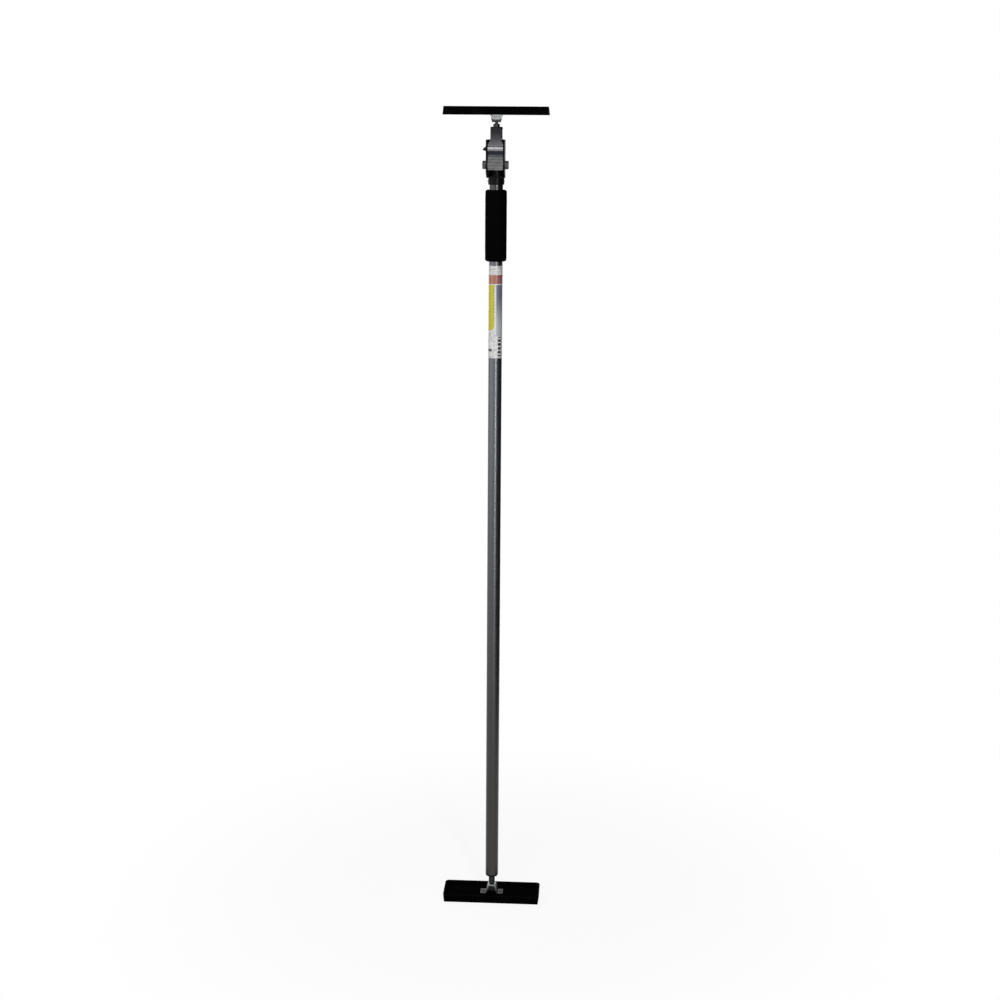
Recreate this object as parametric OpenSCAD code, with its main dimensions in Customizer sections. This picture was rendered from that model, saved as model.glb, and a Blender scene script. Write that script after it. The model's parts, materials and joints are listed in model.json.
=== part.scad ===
// Adjustable steel prop with a pump-action head, closed.
// Millimetres. The origin is the centre of the foot pad's underside, +Z runs up the pole,
// X runs along the long side of both pads and -Y is the side of the pump lever.

/* [Pads] */
// Length of both rubber pads
pad_l = 190; // [150:1:230]
// Width of both rubber pads
pad_w = 69; // [60:1:95]
// Thickness of the rubber at its rim
pad_t = 15; // [13:0.5:18]
// Inset of the rubber's face from its rim, on every side
pad_draft = 2; // [0:0.1:3]
// Radius of the pads' corners
pad_corner = 8; // [7:0.5:14]
// Width of the rim round the tray
pad_rim = 4; // [3:0.5:8]
// Depth of the tray that takes the steel plate
tray_depth = 8; // [5:0.5:8.5]
// Thickness of the steel plate in the tray
plate_t = 1.5; // [1:0.25:2.5]
// Depth of the grip grooves in the pad's face
groove_depth = 1.2; // [0.6:0.1:1.5]
// Width of the grip grooves
groove_w = 2.4; // [1.5:0.1:4]
// Number of grip grooves
groove_count = 6; // [4:2:8]

/* [Swivel brackets] */
// Height of the strap bracket over the steel plate
bracket_h = 19.2; // [18:0.2:24]
// Thickness of the bracket strap
strap_t = 2; // [1.5:0.1:2.4]
// Wall of the bracket's slanted legs
leg_wall = 2.6; // [1.6:0.1:2.7]
// Width of the bracket strap
strap_w = 20; // [16:0.5:26]
// Width across the flat top of the bracket
apex_w = 15; // [14.5:0.5:18]
// Width across the legs at their foot
leg_spread = 24; // [21:0.2:27]
// Width across the bracket's feet
feet_w = 44; // [42:1:56]
// Distance from the rivets to the middle of the bracket
rivet_x = 17.3; // [16.8:0.1:18]
// Diameter of the rivet shanks
rivet_d = 4; // [3:0.2:4.6]
// Diameter of the ball on each stud
ball_d = 8.8; // [8.4:0.1:9.8]
// Diameter of the waist next to the ball
waist_d = 5.6; // [4:0.2:5.8]
// Diameter of the hole in the bracket's top
ball_hole_d = 11; // [10.8:0.1:11.4]
// Depth of the ball's centre below the bracket's top
ball_drop = 5.5; // [5.3:0.1:6]
// Diameter of the neck between bracket and tube
neck_d = 12; // [9:0.5:14]
// Length of the foot stud between bracket and tube plug
foot_neck = 18.4; // [10:0.2:26]
// Length of the top stud between bracket and tube plug
top_neck = 8; // [6:0.2:20]
// Diameter of the threaded shank in the tube plugs
shank_d = 8; // [6:0.5:10]
// Length of the threaded shank
shank_l = 16; // [10:1:18]

/* [Tubes] */
// Outer diameter of the outer tube
tube_d = 25; // [24.4:0.1:26]
// Wall of the outer tube
tube_wall = 1; // [0.8:0.1:1.1]
// Length of the outer tube
tube_l = 1359.8; // [900:0.1:1800]
// Outer diameter of the inner tube
inner_d = 22; // [20.5:0.1:22.2]
// Wall of the inner tube
inner_wall = 1.2; // [0.9:0.1:2]
// Height by which the closed inner tube stands over the head
inner_reach = 17.8; // [8:0.2:60]
// Thickness of the flange on the foot plug
foot_flange_t = 4; // [3:0.5:8]
// Length of the foot plug inside the outer tube
foot_plug_l = 22; // [18:1:40]
// Thickness of the flange on the inner tube's stop plug
stop_flange_t = 6; // [4:0.5:12]
// Thickness of the flange on the inner tube's top plug
top_flange_t = 4.5; // [3:0.5:8]
// Length of the plugs inside the inner tube
plug_l = 20; // [18:1:40]
// Radial gap between the stop flange and the bore of the outer tube
bore_gap = 0.1; // [0.05:0.01:0.2]
// Height at which the stop plug rests over the foot plug
rest_gap = 0.3; // [0.1:0.1:1]

/* [Grip and label] */
// Outer diameter of the foam grip
foam_d = 39.6; // [32:0.2:46]
// Length of the foam grip
foam_l = 128.7; // [90:0.1:180]
// Distance from the collar down to the foam grip
foam_drop = 9.1; // [4:0.1:40]
// Radius of the foam grip's end edges
foam_edge = 3; // [1:0.5:6]
// Radial gap between foam and tube
foam_gap = 0.1; // [0.05:0.05:0.3]
// Length of the label sleeve
label_l = 169.4; // [80:0.1:240]
// Distance from the foam grip down to the label
label_drop = 7.6; // [3:0.1:60]
// Thickness of the label sleeve
label_t = 0.25; // [0.15:0.05:0.4]

/* [Head housing] */
// Height of the housing from its floor to its top
head_h = 67.6; // [66:0.2:76]
// Outer width across the two cheeks
head_w = 34; // [33:0.5:40]
// Thickness of the cheeks
cheek_t = 2.5; // [2:0.1:3]
// Distance from the tube's axis to the cheeks' front edge
head_front = 35; // [34:0.5:42]
// Distance from the tube's axis to the back of the cheeks
cheek_back = 4; // [3:0.5:5]
// Outer diameter of the round back of the housing
shell_d = 29.5; // [29:0.1:31]
// Wall of the round back
shell_t = 1.5; // [1.2:0.1:1.6]
// Thickness of the housing's floor and top
deck_t = 2.5; // [2:0.1:3.5]
// Length of the collar below the housing
collar_l = 12.3; // [9:0.1:24]
// Height of the slanted cut at the cheeks' lower front corner
corner_cut_h = 10.6; // [6:0.2:12]
// Length of the slanted cut
corner_cut_l = 20; // [14:0.5:22]
// Size of the chamfer on the cheeks' upper front corner
cheek_chamfer = 4; // [2:0.5:6]
// Distance from the tube's axis to the front edge of the top deck
deck_front = 13; // [12.5:0.5:16]
// Height of the guard ring round the inner tube, over the housing's floor
guard_h = 12; // [6:0.2:12.4]
// Diameter of the collar's pins
pin_d = 4; // [3:0.2:5]

/* [Pump lever] */
// Distance from the tube's axis to the pivot bolt
pivot_y = 24.6; // [24.4:0.1:24.9]
// Height of the pivot bolt over the housing's floor
pivot_h = 23.2; // [22:0.1:24]
// Diameter of the pivot bolt
bolt_d = 8; // [6.5:0.1:8.2]
// Width of the bolt's hexagon across its flats
hex_af = 13; // [12:0.5:14]
// Height of the bolt's head
bolt_head_h = 5.3; // [4:0.1:7]
// Height of the nut
nut_h = 5.5; // [4:0.1:8]
// Thickness of the washers outside the cheeks
washer_t = 1.2; // [0.8:0.1:2]
// Running gap between the bolt and its bushes
bolt_gap = 0.08; // [0.05:0.01:0.1]
// Wall of the pivot bushes
bush_wall = 1.4; // [1:0.1:2]
// Gap between the lever and each cheek
side_gap = 1; // [0.8:0.1:1.4]
// Wall of the lever's sides
lever_side = 1.8; // [1.4:0.1:2.2]
// Thickness of the lever's front wall
lever_web = 1.8; // [1.4:0.1:1.9]
// Distance from the pivot to the lever's ribbed face
rib_face = 7.4; // [7.2:0.1:8]
// Height of the ribs
rib_h = 1.2; // [0.6:0.1:1.6]
// Spacing of the ribs
rib_pitch = 5.4; // [4.5:0.1:6]
// Number of ribs
rib_count = 5; // [3:1:5]
// Distance from the pivot down to the lever's lower edge
lever_low = 8.9; // [8:0.1:9.4]
// Height of the finger ridge over the pivot
ridge_v = 29; // [28:0.1:34]
// Distance from the pivot to the nose of the finger ridge
ridge_u = 12.2; // [10:0.1:14]
// Radius of the finger ridge's nose
ridge_r = 3.4; // [2.6:0.1:3.8]
// Distance from the pivot to the face of the upper tab
tab_face = 3.4; // [2.6:0.1:4.5]
// Height of the tab's top over the pivot
tab_v = 66.7; // [60:0.1:90]
// Width of the upper tab
tab_w = 18.6; // [14:0.2:22]
// Radius of the tab's corners
tab_r = 6; // [3:0.5:6.8]
// Distance from the pivot to the roller's pin
roller_arm = 10; // [9.6:0.1:10.2]
// Angle by which the roller's arm hangs below level at rest
roller_angle = 35; // [33:1:37]
// Diameter of the roller
roller_d = 6; // [5.4:0.1:6.4]
// Diameter of the roller's pin
roller_pin_d = 3.2; // [2.4:0.1:3.6]

/* [Drive and lock] */
// Number of drive plates
drive_count = 3; // [2:1:3]
// Thickness of a drive plate
drive_t = 3; // [2:0.1:3]
// Gap between two drive plates
drive_space = 0.3; // [0.2:0.05:0.4]
// Radial gap between drive plates and inner tube
drive_gap = 0.25; // [0.2:0.01:0.4]
// Gap between the roller and the lowest drive plate
roller_gap = 0.3; // [0.3:0.05:0.5]
// Width of the drive plates' front tongue
tongue_w = 21; // [16:0.5:21.8]
// Distance from the tube's axis to the front of that tongue
tongue_y = 19; // [17.5:0.1:19.4]
// Height of the spring shelf's upper face over the housing's floor
shelf_h = 49.1; // [48.6:0.1:50]
// Thickness of the spring shelf
shelf_t = 2; // [1.4:0.1:2.2]
// Thickness of the lock plate
lock_t = 4; // [3:0.1:4.2]
// Gap between the lock plate and its shelf
lock_gap = 0.3; // [0.2:0.05:0.4]
// Radial gap between lock plate and inner tube
lock_bore_gap = 0.4; // [0.36:0.01:0.5]
// Distance from the tube's axis to the tip of the release tab
release_x = 24; // [22:0.1:30]
// Width of the lock plate's arms
arm_w = 7; // [5:0.1:7.4]
// Wire of the drive spring and of the lock spring
spring_wire = 1.4; // [1:0.1:1.4]
// Turns of the drive spring
drive_turns = 3.5; // [2.5:0.5:4]
// Turns of the lock spring
lock_turns = 2.5; // [1.5:0.5:3]
// Height of the guide bush's flange
bush_flange_h = 3; // [2:0.1:4]
// Radial running gap of the inner tube in its guides
slide_gap = 0.08; // [0.05:0.01:0.1]

/* [Hidden] */
$fn = 64;
eps = 0.01;
through = 1;

// Swivel feet: rivets, gap round the plate, bracket legs, and the nylon liner round the ball
rivet_grip = 2.5;
rivet_tail = 1.2;
rivet_dome = 2;
plate_gap = 0.3;
leg_slope = (leg_spread - apex_w) / 2;
liner_gap = 0.25;
liner_wall = 1.1;
liner_in = ball_d / 2 + liner_gap;
liner_out = liner_in + liner_wall;
liner_rim = 2.4;
seat_floor = 0.7;

// Heights in a swivel foot, measured from the rubber's face
tray_z = pad_t - tray_depth;
strap_z = tray_z + plate_t;
apex_z = strap_z + bracket_h;
ball_z = apex_z - ball_drop;

// Heights along the pole
plug_z = apex_z + foot_neck;
tube_z = plug_z + foot_flange_t;
floor_z = tube_z + tube_l;
head_z = floor_z + head_h;
inner_z = tube_z + foot_plug_l + rest_gap + stop_flange_t;
inner_top = head_z + inner_reach;
total_h = inner_top + top_flange_t + top_neck + apex_z;
collar_z = floor_z - collar_l;
foam_z = collar_z - foam_drop - foam_l;
label_z = foam_z - label_drop - label_l;

// Widths in the head
cheek_in = head_w / 2 - cheek_t;
shell_in = shell_d / 2 - shell_t;
lever_half = cheek_in - side_gap;
side_in = lever_half - lever_side;
pivot_z = floor_z + pivot_h;
washer_out = head_w / 2 + washer_t;
bush_d = bolt_d + 2 * bolt_gap + 2 * bush_wall;
roller_u = roller_arm * cos(roller_angle);
roller_v = -roller_arm * sin(roller_angle);
drive_z = pivot_z + roller_v + roller_d / 2 + roller_gap;
drive_pitch = drive_t + drive_space;
drive_top = drive_z + drive_count * drive_pitch - drive_space;
shelf_z = floor_z + shelf_h;
lock_z = shelf_z + lock_gap;
lock_top = lock_z + lock_t;
bush_z = head_z - deck_t - bush_flange_h;
bore_clear = 0.3;
bush_body_r = inner_d / 2 + slide_gap + 1.3;
hex_r = hex_af / sqrt(3);
lever_wire = 0.8;
spring_r = (inner_d / 2 + shell_in) / 2;
arm_y = cheek_back + cheek_t + 0.6 + arm_w / 2;

function arc(cx, cy, r, from, to, steps) =
    [for (i = [0 : steps]) let (a = from + (to - from) * i / steps) [cx + r * cos(a), cy + r * sin(a)]];

function bezier(a, b, c, steps) =
    [for (i = [0 : steps]) let (t = i / steps) a * (1 - t) * (1 - t) + b * 2 * t * (1 - t) + c * t * t];

function mirrored(points) = [for (p = points) [-p[0], p[1]]];

function reversed(points) = [for (i = [len(points) - 1 : -1 : 0]) points[i]];

module rounded_rect(l, w, r) {
    square([l - 2 * r, w], center = true);
    square([l, w - 2 * r], center = true);
    for (x = [-1, 1], y = [-1, 1]) translate([x * (l / 2 - r), y * (w / 2 - r)]) circle(r);
}

// A ring from z up by h
module ring(z, h, outer_r, inner_r) {
    translate([0, 0, z]) difference() {
        cylinder(h = h, r = outer_r);
        translate([0, 0, -through]) cylinder(h = h + 2 * through, r = inner_r);
    }
}

// A rod along X from x0 to x1, at y and z
module rod_x(x0, x1, y, z, r) {
    translate([x0, y, z]) rotate([0, 90, 0]) cylinder(h = x1 - x0, r = r);
}

// Turns a drawing of the side, with forward distance and height, into a plate between x0 and x1
module side_plate(x0, x1) {
    translate([x0, 0, 0]) rotate([90, 0, 90]) linear_extrude(x1 - x0) children();
}

// A drawing in X and Z, extruded from y0 to y1
module front_plate(y0, y1) {
    translate([0, y1, 0]) rotate([90, 0, 0]) linear_extrude(y1 - y0) children();
}

// A round wire along a helix on the Z axis, from z0 to z1, with plain cut ends
module coil(r, wire, turns, z0, z1) {
    steps = ceil(turns * 18);
    sides = 8;
    low = z0 + wire / 2;
    rise = z1 - z0 - wire;
    points = [for (i = [0 : steps], j = [0 : sides - 1])
        let (a = 360 * turns * i / steps, b = 360 * j / sides, rr = r + wire / 2 * cos(b))
        [rr * cos(a), rr * sin(a), low + rise * i / steps + wire / 2 * sin(b)]];
    walls = [for (i = [0 : steps - 1], j = [0 : sides - 1])
        let (k = (j + 1) % sides)
        [i * sides + j, i * sides + k, (i + 1) * sides + k, (i + 1) * sides + j]];
    start = [for (j = [sides - 1 : -1 : 0]) j];
    end = [for (j = [0 : sides - 1]) steps * sides + j];
    polyhedron(points, concat([start], walls, [end]), convexity = 10);
}

// ---- Swivel foot, drawn with the rubber's face down ----

// Side view of the rubber, over its length or its width
function drafted(size) =
    [[pad_draft - size / 2, 0], [size / 2 - pad_draft, 0], [size / 2, pad_t], [-size / 2, pad_t]];

module swivel_pad() {
    rivet_head_r = rivet_d / 2 + 2;
    groove_step = pad_w / (groove_count + 1);
    difference() {
        intersection() {
            linear_extrude(pad_t) rounded_rect(pad_l, pad_w, pad_corner);
            front_plate(-pad_w, pad_w) polygon(drafted(pad_l));
            side_plate(-pad_l, pad_l) polygon(drafted(pad_w));
        }
        translate([0, 0, tray_z]) linear_extrude(tray_depth + through)
            rounded_rect(pad_l - 2 * pad_rim, pad_w - 2 * pad_rim, pad_corner - pad_rim);
        for (i = [1 : groove_count])
            translate([-pad_l / 2 - through, i * groove_step - pad_w / 2 - groove_w / 2, -through])
                cube([pad_l + 2 * through, groove_w, groove_depth + through]);
        for (x = [-rivet_x, rivet_x]) translate([x, 0, -through]) {
            cylinder(h = pad_t + through, r = rivet_d / 2);
            cylinder(h = tray_z - rivet_grip + through, r = rivet_head_r);
        }
    }
}

module swivel_plate() {
    margin = pad_rim + plate_gap;
    translate([0, 0, tray_z]) difference() {
        linear_extrude(plate_t)
            rounded_rect(pad_l - 2 * margin, pad_w - 2 * margin, pad_corner - margin);
        for (x = [-rivet_x, rivet_x]) translate([x, 0, -through])
            cylinder(h = plate_t + 2 * through, r = rivet_d / 2);
    }
}

// Half width of the space between the bracket's legs, at a height over the steel plate
function leg_inside(h) = apex_w / 2 - leg_wall + (bracket_h - h) / (bracket_h - strap_t) * leg_slope;

module swivel_bracket() {
    top = bracket_h;
    half = [[feet_w / 2, strap_t], [leg_spread / 2, strap_t], [apex_w / 2, top]];
    inside = [[leg_inside(top - strap_t), top - strap_t], [leg_inside(0), 0], [feet_w / 2, 0]];
    outline = concat(mirrored(half), reversed(half), reversed(inside), mirrored(inside));
    translate([0, 0, strap_z]) difference() {
        front_plate(-strap_w / 2, strap_w / 2) polygon(outline);
        translate([0, 0, top - strap_t - through]) cylinder(h = strap_t + 2 * through, r = ball_hole_d / 2);
        for (x = [-rivet_x, rivet_x]) translate([x, 0, -through])
            cylinder(h = strap_t + 2 * through, r = rivet_d / 2);
    }
}

module swivel_rivets() {
    head_r = rivet_d / 2 + 1.5;
    head_z = strap_z + strap_t;
    tail_z = tray_z - rivet_grip;
    ball_r = (head_r * head_r + rivet_dome * rivet_dome) / (2 * rivet_dome);
    for (x = [-rivet_x, rivet_x]) translate([x, 0, 0]) {
        translate([0, 0, tail_z - rivet_tail]) cylinder(h = rivet_tail, r = head_r);
        translate([0, 0, tail_z - rivet_tail]) cylinder(h = head_z - tail_z + rivet_tail, r = rivet_d / 2);
        intersection() {
            translate([0, 0, head_z]) cylinder(h = rivet_dome, r = head_r);
            translate([0, 0, head_z + rivet_dome - ball_r]) sphere(ball_r);
        }
    }
}

// The seat fills the bracket from just below the liner to the bracket's top
module swivel_seat() {
    seat_w = strap_w - 2;
    low = ball_z - strap_z - liner_out - liner_gap - seat_floor;
    top = bracket_h - strap_t;
    side = [[leg_inside(low), low], [leg_inside(top), top]];
    difference() {
        translate([0, 0, strap_z]) front_plate(-seat_w / 2, seat_w / 2)
            polygon(concat(mirrored(side), reversed(side)));
        translate([0, 0, ball_z]) sphere(liner_out + liner_gap);
    }
}

module swivel_liner() {
    translate([0, 0, ball_z]) difference() {
        intersection() {
            sphere(liner_out);
            translate([0, 0, -liner_out]) cylinder(h = liner_out + liner_rim, r = liner_out + 1);
        }
        sphere(liner_in);
        cylinder(h = liner_out, r = sqrt(liner_in * liner_in - liner_rim * liner_rim) + 0.02);
    }
}

// The stud stands on its ball and carries a tube plug
module swivel_stud(neck_l) {
    waist_l = 2.3;
    flare = 0.7;
    translate([0, 0, ball_z]) sphere(ball_d / 2);
    translate([0, 0, ball_z]) cylinder(h = ball_drop + waist_l + eps, r = waist_d / 2);
    translate([0, 0, apex_z + waist_l]) cylinder(h = flare, r1 = waist_d / 2, r2 = neck_d / 2);
    translate([0, 0, apex_z + waist_l + flare]) cylinder(h = neck_l - waist_l - flare, r = neck_d / 2);
    translate([0, 0, apex_z + neck_l - eps]) cylinder(h = shank_l + eps, r = shank_d / 2);
}

// The same parts at the top, face up
module at_top() {
    translate([0, 0, total_h]) mirror([0, 0, 1]) children();
}

// A plug in a tube's end: its flange lies at z0, below the tube
module tube_plug(z0, flange_t, flange_r, body_l, body_r, edge, bore_r) {
    translate([0, 0, z0]) difference() {
        union() {
            rotate_extrude() polygon(concat([[0, 0]], arc(flange_r - edge, edge, edge, -90, 0, 6),
                                            [[flange_r, flange_t], [0, flange_t]]));
            cylinder(h = flange_t + body_l, r = body_r);
        }
        if (bore_r > 0) translate([0, 0, -through]) cylinder(h = flange_t + body_l + 2 * through, r = bore_r);
    }
}

module foot_pad() { color([0.05, 0.05, 0.05]) swivel_pad(); }
module foot_plate() { color([0.35, 0.36, 0.37]) swivel_plate(); }
module foot_bracket() { color([0.78, 0.79, 0.8]) swivel_bracket(); }
module foot_rivets() { color([0.7, 0.7, 0.72]) swivel_rivets(); }
module foot_seat() { color([0.5, 0.5, 0.5]) swivel_seat(); }
module foot_liner() { color([0.9, 0.9, 0.86]) swivel_liner(); }
module foot_stud() { color([0.25, 0.25, 0.26]) swivel_stud(foot_neck); }
module foot_plug() {
    color([0.1, 0.1, 0.1])
        tube_plug(plug_z, foot_flange_t, tube_d / 2, foot_plug_l, tube_d / 2 - tube_wall, 3, shank_d / 2);
}

module top_pad() { color([0.05, 0.05, 0.05]) at_top() swivel_pad(); }
module top_plate() { color([0.35, 0.36, 0.37]) at_top() swivel_plate(); }
module top_bracket() { color([0.78, 0.79, 0.8]) at_top() swivel_bracket(); }
module top_rivets() { color([0.7, 0.7, 0.72]) at_top() swivel_rivets(); }
module top_seat() { color([0.5, 0.5, 0.5]) at_top() swivel_seat(); }
module top_liner() { color([0.9, 0.9, 0.86]) at_top() swivel_liner(); }
module top_stud() { color([0.25, 0.25, 0.26]) at_top() swivel_stud(top_neck); }
module top_plug() {
    color([0.1, 0.1, 0.1]) at_top()
        tube_plug(apex_z + top_neck, top_flange_t, inner_d / 2 + 0.3, plug_l, inner_d / 2 - inner_wall,
                  1.5, shank_d / 2);
}

// ---- Pole ----

module outer_tube() {
    color([0.36, 0.37, 0.39]) difference() {
        ring(tube_z, tube_l, tube_d / 2, tube_d / 2 - tube_wall);
        rod_x(-tube_d, tube_d, 0, collar_z + collar_l / 2, pin_d / 2);
    }
}

module label_sleeve() {
    color([0.85, 0.84, 0.82]) ring(label_z, label_l, tube_d / 2 + label_t, tube_d / 2);
}

module foam_grip() {
    hole_r = tube_d / 2 + foam_gap;
    outer_r = foam_d / 2;
    color([0.06, 0.06, 0.06]) translate([0, 0, foam_z]) rotate_extrude()
        polygon(concat([[hole_r, 0]],
                       arc(outer_r - foam_edge, foam_edge, foam_edge, -90, 0, 6),
                       arc(outer_r - foam_edge, foam_l - foam_edge, foam_edge, 0, 90, 6),
                       [[hole_r, foam_l]]));
}

module inner_tube() {
    color([0.6, 0.61, 0.62]) ring(inner_z, inner_top - inner_z, inner_d / 2, inner_d / 2 - inner_wall);
}

module stop_plug() {
    color([0.12, 0.12, 0.12])
        tube_plug(inner_z - stop_flange_t, stop_flange_t, tube_d / 2 - tube_wall - bore_gap, plug_l,
                  inner_d / 2 - inner_wall, 1, 0);
}

// ---- Head housing ----

module head_collar() {
    color([0.08, 0.08, 0.08]) difference() {
        ring(collar_z, collar_l, shell_d / 2, tube_d / 2);
        rod_x(-shell_d, shell_d, 0, collar_z + collar_l / 2, pin_d / 2);
    }
}

module collar_pins() {
    color([0.6, 0.6, 0.6]) for (side = [0, 180]) rotate([0, 0, side])
        rod_x(tube_d / 2 - tube_wall + 0.2, shell_d / 2 + 0.7, 0, collar_z + collar_l / 2, pin_d / 2);
}

// Outside of the housing seen from above
module housing_outside() {
    translate([-head_w / 2, -head_front]) square([head_w, head_front - cheek_back]);
    translate([-shell_d / 2, -cheek_back - eps]) square([shell_d, cheek_back + eps]);
    circle(shell_d / 2);
}

module housing_inside() {
    back = cheek_back + cheek_t;
    translate([-cheek_in, -head_front - through]) square([2 * cheek_in, head_front - back + through]);
    translate([-shell_in, -back - eps]) square([2 * shell_in, back + eps]);
    circle(shell_in);
}

// Deck across the housing, from its round back to a front edge
module deck_outline(front) {
    intersection() {
        housing_outside();
        translate([-head_w, -front]) square([2 * head_w, 2 * head_w]);
    }
}

module head_housing() {
    slot_front = arm_y + arm_w / 2 + 0.5;
    slot_back = arm_y - arm_w / 2 - 0.5;
    lug_w = 12;
    lug_h = 3;
    lug_in = inner_d / 2 + 0.4;
    color([0.07, 0.07, 0.075]) union() {
        difference() {
            translate([0, 0, floor_z]) linear_extrude(head_h) difference() {
                housing_outside();
                housing_inside();
            }
            side_plate(-head_w, head_w)
                polygon([[-head_front - through, floor_z - through],
                         [-head_front - through, floor_z + corner_cut_h * (1 + through / corner_cut_l)],
                         [-head_front + corner_cut_l, floor_z],
                         [-head_front + corner_cut_l, floor_z - through]]);
            side_plate(-head_w, head_w)
                polygon([[-head_front - through, head_z + through],
                         [-head_front + cheek_chamfer + through, head_z + through],
                         [-head_front - through, head_z - cheek_chamfer - through]]);
            rod_x(-head_w, head_w, -pivot_y, pivot_z, bolt_d / 2 + bolt_gap);
            translate([-head_w, -slot_front, lock_z - 0.6])
                cube([head_w, slot_front - slot_back, lock_t + 5]);
            translate([0, -slot_front, lock_z - lock_gap])
                cube([head_w, slot_front - slot_back, lock_t + 2 * lock_gap]);
        }
        translate([0, 0, floor_z]) linear_extrude(deck_t) difference() {
            deck_outline(head_front - corner_cut_l);
            circle(inner_d / 2 + slide_gap);
        }
        translate([0, 0, floor_z]) linear_extrude(guard_h) difference() {
            circle(shell_in + 0.5);
            circle(inner_d / 2 + slide_gap);
        }
        translate([0, 0, head_z - deck_t]) linear_extrude(deck_t) difference() {
            deck_outline(deck_front);
            circle(bush_body_r);
        }
        intersection() {
            translate([-lug_w / 2, lug_in, drive_z - 0.3 - lug_h]) cube([lug_w, shell_d, lug_h]);
            translate([0, 0, floor_z]) cylinder(h = head_h, r = shell_in + 0.5);
        }
    }
}

module spring_shelf() {
    color([0.55, 0.55, 0.56]) translate([0, 0, shelf_z - shelf_t]) linear_extrude(shelf_t) difference() {
        intersection() {
            housing_inside();
            translate([-head_w, -deck_front]) square([2 * head_w, 2 * head_w]);
        }
        circle(inner_d / 2 + lock_bore_gap);
    }
}

module guide_bush() {
    bore_r = inner_d / 2 + slide_gap;
    rim = 1;
    color([0.85, 0.85, 0.82]) {
        ring(bush_z, bush_flange_h, shell_in - bore_clear, bore_r);
        ring(bush_z + bush_flange_h - eps, deck_t + rim + eps, bush_body_r, bore_r);
    }
}

// A hexagon whose corners are turned off at its free end
module hexagon(h) {
    corner = hex_r - hex_af / 2 + 0.2;
    intersection() {
        cylinder(h = h, r = hex_r, $fn = 6);
        rotate_extrude() polygon([[0, 0], [hex_r, 0], [hex_r, h - corner * tan(30)],
                                  [hex_r - corner, h], [0, h]]);
    }
}

module pivot_bolt() {
    color([0.55, 0.55, 0.57]) {
        rod_x(-washer_out, washer_out + nut_h, -pivot_y, pivot_z, bolt_d / 2);
        translate([-washer_out, -pivot_y, pivot_z]) rotate([0, -90, 0]) hexagon(bolt_head_h);
    }
}

module pivot_nut() {
    color([0.55, 0.55, 0.57]) translate([washer_out, -pivot_y, pivot_z]) rotate([0, 90, 0]) difference() {
        hexagon(nut_h);
        translate([0, 0, -through]) cylinder(h = nut_h + 2 * through, r = bolt_d / 2);
    }
}

// Two washers outside the cheeks and two between the cheeks and the lever
module pivot_washers() {
    inner_t = side_gap - 0.1;
    color([0.7, 0.7, 0.7]) for (side = [0, 1]) mirror([side, 0, 0]) difference() {
        union() {
            rod_x(head_w / 2, washer_out, -pivot_y, pivot_z, hex_af / 2 + 1);
            rod_x(cheek_in - inner_t, cheek_in, -pivot_y, pivot_z, bolt_d / 2 + 3);
        }
        rod_x(-head_w, head_w, -pivot_y, pivot_z, bolt_d / 2);
    }
}

// Torsion spring round the bolt, with one leg up behind the lever's front wall
module lever_spring() {
    r = bolt_d / 2 + 0.1 + lever_wire / 2;
    leg_x = -2;
    leg_l = 14;
    color([0.5, 0.5, 0.52]) {
        translate([leg_x, -pivot_y, pivot_z]) rotate([0, 90, 0]) rotate([0, 0, 180])
            coil(r, lever_wire, 5, 0, 6.5);
        translate([leg_x + lever_wire / 2, -pivot_y, pivot_z])
            translate([0, -r, 0]) cylinder(h = leg_l, r = lever_wire / 2, $fn = 16);
    }
}

// ---- Pump lever, drawn round the pivot ----

module at_pivot() {
    translate([0, -pivot_y, pivot_z]) children();
}

module pump_lever() {
    shoulder_v = 36;
    neck_v = 45;
    back = -rib_face + lever_web;
    ribs_top = (rib_count - 1) * rib_pitch;
    first_rib = -lever_low + 3.4;
    face_top = first_rib + ribs_top + 2;
    nose = arc(-ridge_u + ridge_r, ridge_v, ridge_r, 215, 100, 8);
    step = [-tab_face - 3.2, ridge_v + 5.5];
    face = concat([[-rib_face, -lever_low]],
                  bezier([-rib_face, face_top], [-rib_face - 0.4, ridge_v - 5], nose[0], 6),
                  nose,
                  bezier(nose[8], [step[0], ridge_v + ridge_r + 0.3], step, 5),
                  [[-tab_face, ridge_v + 15], [-tab_face, tab_v], [-tab_face + lever_web, tab_v],
                   [-tab_face + lever_web, ridge_v + 13], [back, ridge_v + 2], [back, -lever_low]]);
    front = concat([[-lever_half, -lever_low], [lever_half, -lever_low], [lever_half, shoulder_v]],
                   [[tab_w / 2, neck_v]],
                   arc(tab_w / 2 - tab_r, tab_v - tab_r, tab_r, 0, 90, 8),
                   arc(-tab_w / 2 + tab_r, tab_v - tab_r, tab_r, 90, 180, 8),
                   [[-tab_w / 2, neck_v], [-lever_half, shoulder_v]]);
    color([0.42, 0.43, 0.47]) at_pivot() difference() {
        union() {
            intersection() {
                side_plate(-lever_half, lever_half) polygon(face);
                front_plate(-2 * rib_face, rib_face) polygon(front);
            }
            for (i = [0 : rib_count - 1])
                rod_x(-lever_half, lever_half, -rib_face, first_rib + i * rib_pitch, rib_h);
            for (side = [0, 1])
                mirror([side, 0, 0]) side_plate(side_in, lever_half) lever_side_outline();
        }
        rod_x(-head_w, head_w, 0, 0, bush_d / 2);
        rod_x(-head_w, head_w, roller_u, roller_v, roller_pin_d / 2);
    }
}

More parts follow.
